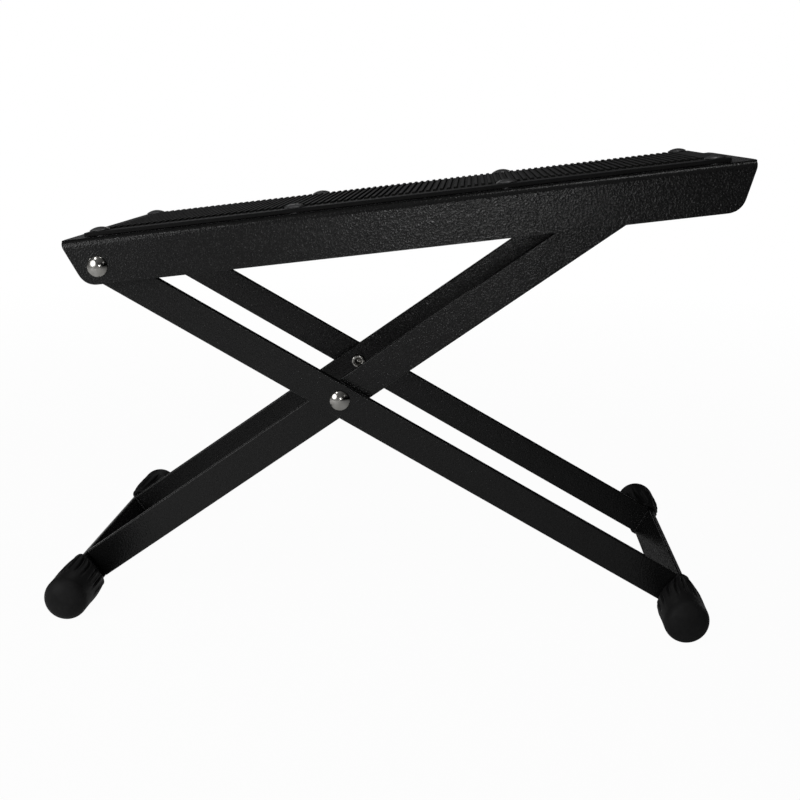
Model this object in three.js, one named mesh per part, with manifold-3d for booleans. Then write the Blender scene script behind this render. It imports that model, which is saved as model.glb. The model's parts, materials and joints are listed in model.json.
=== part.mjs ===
// A folding footrest for a seated guitarist: a steel tray with a ribbed rubber mat,
// carried by two crossed leg frames of flat strip on four rubber foot caps.
// Lengths are in millimetres and angles in degrees. +Z is up, +X points to the high end
// of the tray, and the origin is on the floor under the middle of the whole object.

import * as THREE from 'three';
import { mergeVertices } from 'three/addons/utils/BufferGeometryUtils.js';
import Module from 'manifold-3d';

const wasm = await Module();
wasm.setup();

// Clearances
const seatGap = 0.3;            // between faces that touch on the real object
const overrun = 2;              // how far a cutting shape runs past what it cuts

// Flat steel strip of the legs and foot bars
const stripWidth = 13.8;
const stripThickness = 3;
const stripEdge = 0.5;          // rounding of the strip's long edges

// Leg frames: reaches are measured along a leg from the scissor rivet
const legSkirtGap = 4.25;       // between an outer leg and the tray's skirt
const legGap = 2;               // between an outer leg and the inner leg beside it
const outerUpperReach = 113.2;  // to the tray hinge
const outerLowerReach = 165.2;  // to the middle of the outer foot bar
const innerUpperReach = 143.8;  // to the height rod
const innerLowerReach = 137.3;  // to the middle of the inner foot bar
const weldLeg = 3;              // fillet weld at the foot of each leg

// Tray
const trayLength = 280;
const trayWidth = 105.5;
const trayDepth = 19;           // top face to the lower edge of the skirts
const traySheet = 1.5;
const trayBend = 3;             // outer radius of the long bends
const trayEndSlant = 22.4;      // skirt ends, away from square to the top
const trayCorner = 5.5;         // rounding of the skirts' lower corners
const hingeInset = 14.2;        // tray hinge from the low end
const hingeDrop = 11.7;         // tray hinge below the top face

// Height rod and the two toothed racks that it seats in
const rodDiameter = 6;
const rodSpigotDiameter = 4.5;
const notchReach = 217.8;       // tray hinge to the first notch, along the tray
const notchRise = 1;            // rod centre above the hinge line in a notch
const notchCount = 4;
const notchPitch = 10;
const toothDepth = 3.6;         // below the crown of a notch, where the rod's path allows
const rackThickness = 2;
const rackLegGap = 3;           // from each inner leg's inside face to the rack beside it
const rackFlangeWidth = 10;
const rackEndLength = 5;        // rack beyond its first and last notch
const rackStep = 0.5;           // between the points of a rack's toothed edge
const coupling = 0.53;          // turn of the tray hinge for one turn of the scissor
const foldRange = 61;           // turn of the scissor from this setting to folded
const pathStep = 0.25;          // turn between the rod positions that the teeth are cut to clear

// Rubber mat
const matEndInset = 10;         // from each end of the tray
const matSideInset = 3;         // from each side of the tray
const matThickness = 1.7;
const matCorner = 2;
const matSideBorder = 8;        // plain border beside the ribbed field
const matEndBorder = 8;
const ribPitch = 2.8;
const ribWidth = 1.4;
const ribHeight = 0.8;

// Rivets that hold the mat
const matRivetRows = 2;
const matRivetsInRow = 4;
const matRivetEndInset = 15.8;  // from each end of the tray
const matRivetSideInset = 7.2;  // from each side of the tray
const matRivetSpread = 1.5;     // middle rivets of a row, beyond even spacing
const matRivetHead = 8.4;
const matRivetCrown = 1.4;
const matRivetShank = 4;
const matRivetTail = 6;
const matRivetTailHeight = 0.9;

// Joint rivets: two at the scissor, two at the tray hinge
const jointRivetHead = 8.6;
const jointRivetCrown = 2.1;
const jointRivetShank = 5;
const jointRivetTail = 6.4;
const scissorTailHeight = 1.2;
const tailHollow = 3;           // dimple of the rolled tail
const tailHollowDepth = 0.8;
const washerDiameter = 10;

// Foot caps
const capRadius = 9.2;          // at the widest
const capWall = 1.3;            // at the mouth, round the bar's flat end
const capMouthPower = 0.65;     // shape of the mouth: 1 is an ellipse, 0 a rectangle
const capLength = 38;
const capStandOff = 0.5;        // mouth beyond the outer leg's outer face
const capFlareEnd = 24.5;       // where the flat mouth has become round
const capCrownDepth = 6.5;      // length of the domed end
const capFlat = 0.3;            // worn flat that stands on the floor
const capPocketDepth = 26;
const capPocketGap = 0.3;
const fluteCount = 10;
const fluteDepth = 0.7;
const fluteStart = 2.5;
const fluteEnd = 19;
const flareSteps = 7;

// Facets round each kind of turned piece
const rivetFacets = 16;
const holeFacets = 24;
const rodFacets = 20;
const capFacetsPerFlute = 3;
const cornerSteps = 4;
const crownSteps = 4;           // rings of a domed end

// Worked out from the sizes above
const radians = THREE.MathUtils.degToRad;
const skirtInnerFace = trayWidth / 2 - traySheet;
const outerFace = skirtInnerFace - legSkirtGap;
const outerInnerFace = outerFace - stripThickness;
const innerFace = outerInnerFace - legGap;
const innerInnerFace = innerFace - stripThickness;
const matWidth = trayWidth - 2 * matSideInset;
const footCentre = capRadius - capFlat;
const rodRadius = rodDiameter / 2;
const jointHole = jointRivetShank + 2 * seatGap;
const matHole = matRivetShank + 2 * seatGap;
const spigotHole = rodSpigotDiameter + 2 * seatGap;
const sides = [{ name: 'right', sign: -1 }, { name: 'left', sign: 1 }];

// The pose: the rod sits in the first notch and all four caps stand on the floor
const hingeToRod = Math.hypot(notchReach, notchRise);
const rodHingeAngle = Math.acos(
  (outerUpperReach ** 2 + innerUpperReach ** 2 - hingeToRod ** 2)
  / (2 * outerUpperReach * innerUpperReach));
const legAngle = Math.PI - rodHingeAngle;
const outerTilt = Math.atan2(
  innerLowerReach * Math.sin(legAngle),
  outerLowerReach + innerLowerReach * Math.cos(legAngle));
const innerTilt = legAngle - outerTilt;
const scissorHeight = outerLowerReach * Math.sin(outerTilt) + footCentre;
const hingeFromScissor = {
  x: -outerUpperReach * Math.cos(outerTilt),
  z: outerUpperReach * Math.sin(outerTilt),
};
const rodFromScissor = {
  x: innerUpperReach * Math.cos(innerTilt),
  z: innerUpperReach * Math.sin(innerTilt),
};
const trayTilt = Math.atan2(
  rodFromScissor.z - hingeFromScissor.z,
  rodFromScissor.x - hingeFromScissor.x) - Math.atan2(notchRise, notchReach);

// The middle of the whole object, seen from the side, is put at x = 0
const highEnd = hingeFromScissor.x
  + (trayLength - hingeInset) * Math.cos(trayTilt) - hingeDrop * Math.sin(trayTilt);
const lowEnd = -innerLowerReach * Math.cos(innerTilt) - capRadius;
const scissorX = -(highEnd + lowEnd) / 2;

// Closed solids

function solidOf(geometry) {
  const bare = new THREE.BufferGeometry();
  bare.setAttribute('position', geometry.getAttribute('position'));
  bare.setIndex(geometry.index);
  const merged = mergeVertices(bare);
  const corners = merged.index.array;
  const triangles = [];
  for (let i = 0; i < corners.length; i += 3) {
    const [a, b, c] = [corners[i], corners[i + 1], corners[i + 2]];
    if (a !== b && b !== c && c !== a) triangles.push(a, b, c);
  }
  return new wasm.Manifold(new wasm.Mesh({
    numProp: 3,
    vertProperties: new Float32Array(merged.getAttribute('position').array),
    triVerts: new Uint32Array(triangles),
  }));
}

function geometryOf(solid) {
  const mesh = solid.getMesh();
  const geometry = new THREE.BufferGeometry();
  geometry.setAttribute('position', new THREE.BufferAttribute(mesh.vertProperties, 3));
  geometry.setIndex(new THREE.BufferAttribute(mesh.triVerts, 1));
  const flat = geometry.toNonIndexed();
  flat.computeVertexNormals();
  return flat;
}

function cut(body, tools) {
  return tools.reduce((solid, tool) => solid.subtract(solidOf(tool)), body);
}

// A shape drawn in x and z, with its thickness along y from yStart
function sidePlate(shape, thickness, yStart, edge = 0) {
  const geometry = new THREE.ExtrudeGeometry(shape, {
    depth: thickness - 2 * edge,
    bevelEnabled: edge > 0,
    bevelThickness: edge,
    bevelSize: edge,
    bevelOffset: -edge,
    bevelSegments: 1,
    curveSegments: cornerSteps,
  });
  geometry.rotateX(Math.PI / 2);
  geometry.translate(0, yStart + thickness - edge, 0);
  return geometry;
}

// A round bar along y between two places, for holes and washers
function barAlongY(diameter, yLow, yHigh, x, z, facets = holeFacets) {
  const geometry = new THREE.CylinderGeometry(diameter / 2, diameter / 2, yHigh - yLow, facets);
  geometry.translate(x, (yLow + yHigh) / 2, z);
  return geometry;
}

function barAlongZ(diameter, zLow, zHigh, x, y, facets = holeFacets) {
  const geometry = new THREE.CylinderGeometry(diameter / 2, diameter / 2, zHigh - zLow, facets);
  geometry.rotateX(Math.PI / 2);
  geometry.translate(x, y, (zLow + zHigh) / 2);
  return geometry;
}

function box(xSize, ySize, zSize, x, y, z) {
  const geometry = new THREE.BoxGeometry(xSize, ySize, zSize);
  geometry.translate(x, y, z);
  return geometry;
}

// Materials

const blackPaint = new THREE.MeshStandardMaterial({ color: 0x1c1c1c, roughness: 0.55, metalness: 0.2 });
const blackRubber = new THREE.MeshStandardMaterial({ color: 0x161616, roughness: 0.8, metalness: 0 });
const brightSteel = new THREE.MeshStandardMaterial({ color: 0xa8a8a8, roughness: 0.25, metalness: 1 });
const blackRivet = new THREE.MeshStandardMaterial({ color: 0x4a4a4a, roughness: 0.35, metalness: 0.7 });

function named(name, geometry, material) {
  const mesh = new THREE.Mesh(geometry, material);
  mesh.name = name;
  return mesh;
}

// Legs: x runs along the leg from the scissor rivet towards its foot, at foot = 1 or -1

function legShape(upperReach, lowerReach, foot) {
  const half = stripWidth / 2;
  const squareEnd = lowerReach - stripThickness / 2 - seatGap;
  const shape = new THREE.Shape();
  if (foot > 0) {
    shape.moveTo(squareEnd, -half);
    shape.lineTo(squareEnd, half);
    shape.lineTo(-upperReach, half);
    shape.absarc(-upperReach, 0, half, Math.PI / 2, -Math.PI / 2, false);
  } else {
    shape.moveTo(-squareEnd, half);
    shape.lineTo(-squareEnd, -half);
    shape.lineTo(upperReach, -half);
    shape.absarc(upperReach, 0, half, -Math.PI / 2, Math.PI / 2, false);
  }
  shape.closePath();
  return shape;
}

function outerLeg(side) {
  const yStart = side.sign > 0 ? outerInnerFace : -outerFace;
  const body = solidOf(sidePlate(
    legShape(outerUpperReach, outerLowerReach, 1), stripThickness, yStart, stripEdge));
  const [low, high] = [yStart - overrun, yStart + stripThickness + overrun];
  return geometryOf(cut(body, [
    barAlongY(jointHole, low, high, 0, 0),
    barAlongY(jointHole, low, high, -outerUpperReach, 0),
  ]));
}

function innerLeg(side) {
  const yStart = side.sign > 0 ? innerInnerFace : -innerFace;
  const body = solidOf(sidePlate(
    legShape(innerUpperReach, innerLowerReach, -1), stripThickness, yStart, stripEdge));
  const [low, high] = [yStart - overrun, yStart + stripThickness + overrun];
  return geometryOf(cut(body, [
    barAlongY(jointHole, low, high, 0, 0),
    barAlongY(spigotHole, low, high, innerUpperReach, 0),
  ]));
}

// A foot bar across the leg ends, with the fillet welds inside its two legs
function footBar(x, legInside, towardsLegs) {
  const halfLength = outerFace + capStandOff + capPocketDepth - capPocketGap;
  const half = stripWidth / 2;
  const outline = new THREE.Shape();
  outline.moveTo(-halfLength, -half);
  outline.lineTo(halfLength, -half);
  outline.lineTo(halfLength, half);
  outline.lineTo(-halfLength, half);
  outline.closePath();
  const strip = new THREE.ExtrudeGeometry(outline, {
    depth: stripThickness - 2 * stripEdge,
    bevelThickness: stripEdge,
    bevelSize: stripEdge,
    bevelOffset: -stripEdge,
    bevelSegments: 1,
  });
  strip.translate(0, 0, stripEdge - stripThickness / 2);
  strip.rotateX(Math.PI / 2);
  strip.rotateZ(Math.PI / 2);
  strip.translate(x, 0, 0);
  let body = solidOf(strip);
  const root = x + towardsLegs * (stripThickness / 2 - seatGap);
  const toe = x + towardsLegs * (stripThickness / 2 + weldLeg);
  for (const side of sides) {
    const face = side.sign * (legInside - seatGap);
    const foot = side.sign * (legInside - seatGap - weldLeg);
    const corners = [[root, face], [toe, face], [root, foot]];
    if (towardsLegs * side.sign > 0) corners.reverse();
    const fillet = new THREE.Shape(corners.map(([cx, cy]) => new THREE.Vector2(cx, cy)));
    const bead = new THREE.ExtrudeGeometry(fillet, { depth: stripWidth, bevelEnabled: false });
    bead.translate(0, 0, -half);
    body = body.add(solidOf(bead));
  }
  return geometryOf(body);
}

// The height rod: shoulders between the inner legs, and a spigot through each
function heightRod() {
  const shoulder = innerInnerFace - seatGap;
  const end = innerFace;
  const profile = [
    [0, -end], [rodSpigotDiameter / 2, -end], [rodSpigotDiameter / 2, -shoulder],
    [rodRadius, -shoulder], [rodRadius, shoulder],
    [rodSpigotDiameter / 2, shoulder], [rodSpigotDiameter / 2, end], [0, end],
  ].map(([r, y]) => new THREE.Vector2(r, y));
  const rod = new THREE.LatheGeometry(profile, rodFacets);
  rod.translate(innerUpperReach, 0, 0);
  return geometryOf(solidOf(rod));
}

// A rivet along its own axis: the head's seat is at 0 and the tail is at -grip.
// The grip is from under the head to under the tail.
function rivetProfile({ head, crown, shank, grip, tail, tailHeight, hollow = 0, hollowDepth = 0 }) {
  const points = [];
  if (hollow > 0) {
    points.push([0, -grip - tailHeight + hollowDepth], [hollow / 2, -grip - tailHeight + hollowDepth]);
    points.push([hollow / 2, -grip - tailHeight]);
  } else {
    points.push([0, -grip - tailHeight]);
  }
  points.push([tail / 2 - tailHeight / 2, -grip - tailHeight]);
  points.push([tail / 2, -grip - tailHeight / 2], [tail / 2, -grip]);
  points.push([shank / 2, -grip], [shank / 2, 0], [head / 2, 0]);
  for (let i = 1; i < crownSteps; i += 1) {
    const turn = (i / crownSteps) * Math.PI / 2;
    points.push([head / 2 * Math.cos(turn), crown * Math.sin(turn)]);
  }
  points.push([0, crown]);
  return points.map(([r, y]) => new THREE.Vector2(r, y));
}

function jointRivet(side, seat, grip, tailHeight) {
  const rivet = new THREE.LatheGeometry(rivetProfile({
    head: jointRivetHead,
    crown: jointRivetCrown,
    shank: jointRivetShank,
    grip,
    tail: jointRivetTail,
    tailHeight,
    hollow: tailHollow,
    hollowDepth: tailHollowDepth,
  }), rivetFacets);
  if (side.sign < 0) rivet.rotateX(Math.PI);
  rivet.translate(0, side.sign * seat, 0);
  return geometryOf(solidOf(rivet));
}

function washer(side, outside, thickness) {
  const [near, far] = [side.sign * outside, side.sign * (outside - thickness)];
  const [low, high] = [Math.min(near, far), Math.max(near, far)];
  return geometryOf(cut(solidOf(barAlongY(washerDiameter, low, high, 0, 0)),
    [barAlongY(jointHole, low - overrun, high + overrun, 0, 0)]));
}

// The tray's parts use x along the tray from the hinge and z square to its top face

const trayTop = hingeDrop;
const trayUnder = trayTop - traySheet;
const trayLow = -hingeInset;
const trayHigh = trayLength - hingeInset;

function trayPan() {
  const bottom = trayTop - trayDepth;
  const [outside, inside] = [trayWidth / 2, skirtInnerFace];
  const insideBend = trayBend - traySheet;
  const channel = new THREE.Shape();
  channel.moveTo(-outside, bottom);
  channel.lineTo(-inside, bottom);
  channel.lineTo(-inside, trayUnder - insideBend);
  channel.absarc(-inside + insideBend, trayUnder - insideBend, insideBend, Math.PI, Math.PI / 2, true);
  channel.lineTo(inside - insideBend, trayUnder);
  channel.absarc(inside - insideBend, trayUnder - insideBend, insideBend, Math.PI / 2, 0, true);
  channel.lineTo(inside, bottom);
  channel.lineTo(outside, bottom);
  channel.lineTo(outside, trayTop - trayBend);
  channel.absarc(outside - trayBend, trayTop - trayBend, trayBend, 0, Math.PI / 2, false);
  channel.lineTo(-outside + trayBend, trayTop);
  channel.absarc(-outside + trayBend, trayTop - trayBend, trayBend, Math.PI / 2, Math.PI, false);
  channel.closePath();
  const sheet = new THREE.ExtrudeGeometry(channel, {
    depth: trayLength + 2 * overrun,
    bevelEnabled: false,
    curveSegments: cornerSteps,
  });
  sheet.rotateX(Math.PI / 2);
  sheet.rotateZ(Math.PI / 2);
  sheet.translate(trayLow - overrun, 0, 0);

  const slope = Math.tan(radians(trayEndSlant));
  const corners = [
    [trayLow, trayTop], [trayLow + trayDepth * slope, bottom],
    [trayHigh - trayDepth * slope, bottom], [trayHigh, trayTop],
  ];
  const outline = new THREE.Shape();
  outline.moveTo(trayLow, trayTop + overrun);
  outline.lineTo(trayLow, trayTop);
  const along = (from, to, distance) => {
    const length = Math.hypot(to[0] - from[0], to[1] - from[1]);
    return [0, 1].map((k) => from[k] + (to[k] - from[k]) * distance / length);
  };
  for (const [before, corner, after] of [corners.slice(0, 3), corners.slice(1, 4)]) {
    outline.lineTo(...along(corner, before, trayCorner));
    outline.quadraticCurveTo(...corner, ...along(corner, after, trayCorner));
  }
  outline.lineTo(trayHigh, trayTop);
  outline.lineTo(trayHigh, trayTop + overrun);
  outline.closePath();
  const side = solidOf(sidePlate(outline, trayWidth + 2 * overrun, -trayWidth / 2 - overrun));

  const holes = matRivetPlaces().map(({ x, y }) => (
    barAlongZ(matHole, trayUnder - overrun, trayTop + overrun, x, y)));
  for (const { sign } of sides) {
    const face = sign * (skirtInnerFace + traySheet / 2);
    holes.push(barAlongY(jointHole, face - traySheet, face + traySheet, 0, 0));
  }
  return geometryOf(cut(solidOf(sheet).intersect(side), holes));
}

function matRivetPlaces() {
  const places = [];
  const step = (trayLength - 2 * matRivetEndInset) / (matRivetsInRow - 1);
  const reach = trayWidth / 2 - matRivetSideInset;
  const last = matRivetsInRow - 1;
  for (let row = 0; row < matRivetRows; row += 1) {
    for (let i = 0; i <= last; i += 1) {
      const spread = i === 0 || i === last ? 0 : Math.sign(i - last / 2) * matRivetSpread;
      places.push({
        x: trayLow + matRivetEndInset + i * step + spread,
        y: -reach + 2 * reach * row / (matRivetRows - 1),
        name: `${sides[row].name}_${i + 1}`,
      });
    }
  }
  return places;
}

function rubberMat() {
  const base = trayTop + seatGap;
  const face = base + matThickness;
  const [low, high] = [trayLow + matEndInset, trayHigh - matEndInset];
  const half = matWidth / 2;
  const outline = new THREE.Shape();
  outline.moveTo(low + matCorner, -half);
  outline.lineTo(high - matCorner, -half);
  outline.absarc(high - matCorner, -half + matCorner, matCorner, -Math.PI / 2, 0, false);
  outline.lineTo(high, half - matCorner);
  outline.absarc(high - matCorner, half - matCorner, matCorner, 0, Math.PI / 2, false);
  outline.lineTo(low + matCorner, half);
  outline.absarc(low + matCorner, half - matCorner, matCorner, Math.PI / 2, Math.PI, false);
  outline.lineTo(low, -half + matCorner);
  outline.absarc(low + matCorner, -half + matCorner, matCorner, Math.PI, 1.5 * Math.PI, false);
  const slab = new THREE.ExtrudeGeometry(outline, {
    depth: matThickness,
    bevelEnabled: false,
    curveSegments: cornerSteps,
  });
  slab.translate(0, 0, base);

  const room = high - low - 2 * matEndBorder;
  const ribs = Math.floor((room - ribWidth) / ribPitch) + 1;
  const fieldLength = (ribs - 1) * ribPitch + ribWidth;
  const start = (low + high - fieldLength) / 2;
  const buried = face - matThickness / 2;
  const comb = new THREE.Shape();
  comb.moveTo(start + fieldLength, buried);
  for (let i = ribs - 1; i >= 0; i -= 1) {
    const left = start + i * ribPitch;
    comb.lineTo(left + ribWidth, face + ribHeight);
    comb.lineTo(left, face + ribHeight);
    if (i > 0) {
      comb.lineTo(left, face - ribHeight / 4);
      comb.lineTo(left - ribPitch + ribWidth, face - ribHeight / 4);
    }
  }
  comb.lineTo(start, buried);
  comb.closePath();
  const fieldWidth = matWidth - 2 * matSideBorder;
  const field = solidOf(sidePlate(comb, fieldWidth, -fieldWidth / 2));
  const reliefs = matRivetPlaces().map(({ x, y }) => (
    barAlongZ(matRivetHead + 2 * ribWidth, face, face + ribHeight + overrun, x, y)));
  const holes = matRivetPlaces().map(({ x, y }) => (
    barAlongZ(matHole, base - overrun, face + overrun, x, y)));
  return geometryOf(cut(solidOf(slab).add(field), [...reliefs, ...holes]));
}

function matRivet({ x, y }) {
  const rivet = new THREE.LatheGeometry(rivetProfile({
    head: matRivetHead,
    crown: matRivetCrown,
    shank: matRivetShank,
    grip: 3 * seatGap + matThickness + traySheet,
    tail: matRivetTail,
    tailHeight: matRivetTailHeight,
  }), rivetFacets);
  rivet.rotateX(Math.PI / 2);
  rivet.translate(x, y, trayTop + matThickness + 2 * seatGap);
  return geometryOf(solidOf(rivet));
}

// The rod's centre, seen from the tray, when the scissor has folded by an angle
function rodPath(fold) {
  const hingeSide = outerTilt + trayTilt - coupling * fold;
  const rodSide = innerTilt - trayTilt - (1 - coupling) * fold;
  return {
    x: outerUpperReach * Math.cos(hingeSide) + innerUpperReach * Math.cos(rodSide),
    z: -outerUpperReach * Math.sin(hingeSide) + innerUpperReach * Math.sin(rodSide),
  };
}

// The lowest that the racks may reach at one place and stay clear of the moving rod
function rodClearance(x) {
  const reach = rodRadius + seatGap / 2;
  let limit = -Infinity;
  for (let fold = 0; fold <= foldRange; fold += pathStep) {
    const rod = rodPath(radians(fold));
    const across = Math.abs(x - rod.x);
    if (across < reach) limit = Math.max(limit, rod.z + Math.sqrt(reach ** 2 - across ** 2));
  }
  return limit;
}

// The toothed edge of a rack: its notches, and its teeth as long as the rod's path allows
function rackEdge(x) {
  const radius = rodRadius + seatGap;
  const notch = THREE.MathUtils.clamp(Math.round((x - notchReach) / notchPitch), 0, notchCount - 1);
  const across = Math.abs(x - notchReach - notch * notchPitch);
  const notchEdge = across < radius ? notchRise + Math.sqrt(radius ** 2 - across ** 2) : -Infinity;
  return Math.max(notchRise + radius - toothDepth, notchEdge, rodClearance(x));
}

function toothedRack(side) {
  const overhang = rodRadius + seatGap + rackEndLength;
  const top = trayUnder - seatGap;
  const left = notchReach - overhang;
  const right = notchReach + (notchCount - 1) * notchPitch + overhang;
  const steps = Math.round((right - left) / rackStep);
  const outline = new THREE.Shape();
  outline.moveTo(left, top);
  for (let i = 0; i <= steps; i += 1) {
    const x = THREE.MathUtils.lerp(left, right, i / steps);
    outline.lineTo(x, rackEdge(x));
  }
  outline.lineTo(right, top);
  outline.closePath();
  const faceY = innerInnerFace - rackLegGap;
  const webStart = side.sign > 0 ? faceY - rackThickness : -faceY;
  const web = solidOf(sidePlate(outline, rackThickness, webStart));
  const flange = box(
    right - left, rackFlangeWidth, rackThickness,
    (left + right) / 2, side.sign * (faceY - rackFlangeWidth / 2), top - rackThickness / 2);
  return geometryOf(web.add(solidOf(flange)));
}

// A point of a foot cap's outline: flat and wide round the bar's end where flare is 0, and
// a circle of the given radius where it is 1
function capPoint(angle, flare, radius, inset) {
  const [across, along] = [Math.cos(angle), Math.sin(angle)];
  const wall = capPocketGap + capWall - inset;
  const flat = (share, half) => Math.sign(share) * Math.abs(share) ** capMouthPower * (half + wall);
  return {
    x: flat(across, stripThickness / 2) * (1 - flare) + radius * across * flare,
    z: flat(along, stripWidth / 2) * (1 - flare) + radius * along * flare,
  };
}

// A moulded foot cap along y, its flat mouth at 0 and its domed end at capLength
function footCap(side, pocketTurn) {
  const facets = fluteCount * capFacetsPerFlute;
  const facetScale = 1 / Math.cos(Math.PI / facets);
  const widest = capLength - capCrownDepth;
  const rings = [{ y: 0, flare: 0, radius: capRadius, inset: capPocketGap }];
  for (let i = 0; i <= flareSteps; i += 1) {
    const y = capPocketGap + (i / flareSteps) * (capFlareEnd - capPocketGap);
    rings.push({ y, flare: Math.sin((i / flareSteps) * Math.PI / 2), radius: capRadius, inset: 0 });
  }
  rings.push({ y: widest, flare: 1, radius: capRadius, inset: 0 });
  for (let i = 1; i < crownSteps; i += 1) {
    const turn = (i / crownSteps) * Math.PI / 2;
    const y = widest + capCrownDepth * Math.sin(turn);
    rings.push({ y, flare: 1, radius: capRadius * Math.cos(turn), inset: 0 });
  }
  const positions = [0, 0, 0];
  const floor = -footCentre;
  const [turnCos, turnSin] = [Math.cos(pocketTurn), Math.sin(pocketTurn)];
  for (const { y, flare, radius, inset } of rings) {
    const inFlute = y >= fluteStart && y < fluteEnd;
    for (let k = 0; k < facets; k += 1) {
      const angle = (k + 0.5) / facets * 2 * Math.PI - Math.PI / 2;
      const dip = inFlute && k % capFacetsPerFlute === 1 ? fluteDepth : 0;
      const point = capPoint(angle, flare, radius * facetScale, inset);
      const keep = 1 - dip / Math.hypot(point.x, point.z);
      const [x, z] = [point.x * keep, point.z * keep];
      positions.push(
        x * turnCos + z * turnSin, side.sign * y, Math.max(floor, z * turnCos - x * turnSin));
    }
  }
  positions.push(0, side.sign * capLength, 0);
  const index = [];
  const addTriangle = (a, b, c) => (side.sign > 0 ? index.push(a, b, c) : index.push(a, c, b));
  const last = rings.length - 1;
  const pole = 1 + rings.length * facets;
  for (let k = 0; k < facets; k += 1) {
    const next = (k + 1) % facets;
    addTriangle(0, 1 + k, 1 + next);
    for (let ring = 0; ring < last; ring += 1) {
      const [low, high] = [1 + ring * facets, 1 + (ring + 1) * facets];
      addTriangle(low + k, high + k, high + next);
      addTriangle(low + k, high + next, low + next);
    }
    addTriangle(1 + last * facets + k, pole, 1 + last * facets + next);
  }
  const geometry = new THREE.BufferGeometry();
  geometry.setAttribute('position', new THREE.Float32BufferAttribute(positions, 3));
  geometry.setIndex(index);
  const pocket = box(
    stripThickness + 2 * capPocketGap, capPocketDepth + overrun, stripWidth + 2 * capPocketGap,
    0, side.sign * (capPocketDepth - overrun) / 2, 0);
  pocket.rotateY(pocketTurn);
  const cap = geometryOf(cut(solidOf(geometry), [pocket]));
  cap.translate(0, side.sign * (outerFace + capStandOff), 0);
  return cap;
}

// Assembly

const footrest = new THREE.Group();

const outerFrame = new THREE.Group();
outerFrame.position.set(scissorX, 0, scissorHeight);
outerFrame.rotation.y = outerTilt;
footrest.add(outerFrame);

const innerFrame = new THREE.Group();
innerFrame.position.copy(outerFrame.position);
innerFrame.rotation.y = -innerTilt;
footrest.add(innerFrame);

const tray = new THREE.Group();
tray.position.set(scissorX + hingeFromScissor.x, 0, scissorHeight + hingeFromScissor.z);
tray.rotation.y = -trayTilt;
footrest.add(tray);

outerFrame.add(named('outer_foot_bar', footBar(outerLowerReach, outerInnerFace, -1), blackPaint));
innerFrame.add(named('inner_foot_bar', footBar(-innerLowerReach, innerInnerFace, 1), blackPaint));
innerFrame.add(named('height_rod', heightRod(), brightSteel));

for (const side of sides) {
  outerFrame.add(named(`outer_leg_${side.name}`, outerLeg(side), blackPaint));
  innerFrame.add(named(`inner_leg_${side.name}`, innerLeg(side), blackPaint));

  const scissorGrip = outerFace - innerInnerFace + 2 * seatGap;
  outerFrame.add(named(`scissor_rivet_${side.name}`,
    jointRivet(side, outerFace + seatGap, scissorGrip, scissorTailHeight), brightSteel));
  outerFrame.add(named(`scissor_washer_${side.name}`,
    washer(side, outerInnerFace - seatGap, legGap - 2 * seatGap), brightSteel));

  const hingeTailHeight = legGap - 2 * seatGap;
  const hingeGrip = trayWidth / 2 - outerInnerFace + 2 * seatGap;
  tray.add(named(`tray_hinge_rivet_${side.name}`,
    jointRivet(side, trayWidth / 2 + seatGap, hingeGrip, hingeTailHeight), brightSteel));
  tray.add(named(`tray_hinge_spacer_${side.name}`,
    washer(side, skirtInnerFace - seatGap, skirtInnerFace - outerFace - 2 * seatGap), brightSteel));

  tray.add(named(`height_rack_${side.name}`, toothedRack(side), blackPaint));
}

tray.add(named('tray_pan', trayPan(), blackPaint));
tray.add(named('rubber_mat', rubberMat(), blackRubber));
for (const place of matRivetPlaces()) {
  tray.add(named(`mat_rivet_${place.name}`, matRivet(place), blackRivet));
}

// The caps hang square to the floor, so that each stands on its worn flat
for (const side of sides) {
  const outerCap = named(`outer_foot_cap_${side.name}`, footCap(side, outerTilt), blackRubber);
  outerCap.position.set(
    scissorX + outerLowerReach * Math.cos(outerTilt), 0,
    scissorHeight - outerLowerReach * Math.sin(outerTilt));
  footrest.add(outerCap);
  const innerCap = named(`inner_foot_cap_${side.name}`, footCap(side, -innerTilt), blackRubber);
  innerCap.position.set(
    scissorX - innerLowerReach * Math.cos(innerTilt), 0,
    scissorHeight - innerLowerReach * Math.sin(innerTilt));
  footrest.add(innerCap);
}

export default footrest;
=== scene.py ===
"""A folding footrest for a seated guitarist: a black powder-coated steel tray with a ribbed
rubber mat, two crossed leg frames of flat strip, bright rivets and moulded rubber foot caps.
Sizes are in millimetres in each part's own frame, and become metres when they are placed."""

import json
import math

import bmesh
import bpy
from mathutils import Matrix, Vector


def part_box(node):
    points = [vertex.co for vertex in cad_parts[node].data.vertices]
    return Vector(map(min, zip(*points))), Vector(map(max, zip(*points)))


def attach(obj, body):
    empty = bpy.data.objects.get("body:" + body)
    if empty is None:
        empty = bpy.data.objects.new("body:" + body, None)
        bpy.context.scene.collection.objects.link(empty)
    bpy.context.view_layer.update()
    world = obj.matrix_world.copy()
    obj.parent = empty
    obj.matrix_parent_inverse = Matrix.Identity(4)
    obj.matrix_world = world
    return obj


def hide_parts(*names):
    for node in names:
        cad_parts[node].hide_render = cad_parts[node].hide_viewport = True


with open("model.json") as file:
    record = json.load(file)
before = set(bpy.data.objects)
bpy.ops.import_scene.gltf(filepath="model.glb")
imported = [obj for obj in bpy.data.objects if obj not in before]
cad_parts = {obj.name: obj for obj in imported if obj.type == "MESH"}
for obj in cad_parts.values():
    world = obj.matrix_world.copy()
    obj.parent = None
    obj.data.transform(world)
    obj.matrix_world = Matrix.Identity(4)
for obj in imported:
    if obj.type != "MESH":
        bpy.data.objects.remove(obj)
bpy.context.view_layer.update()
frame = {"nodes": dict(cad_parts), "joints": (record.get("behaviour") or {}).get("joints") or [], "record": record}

MM = 0.001
RIGHT_ANGLE = math.pi / 2
FULL_TURN = 2 * math.pi
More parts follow.
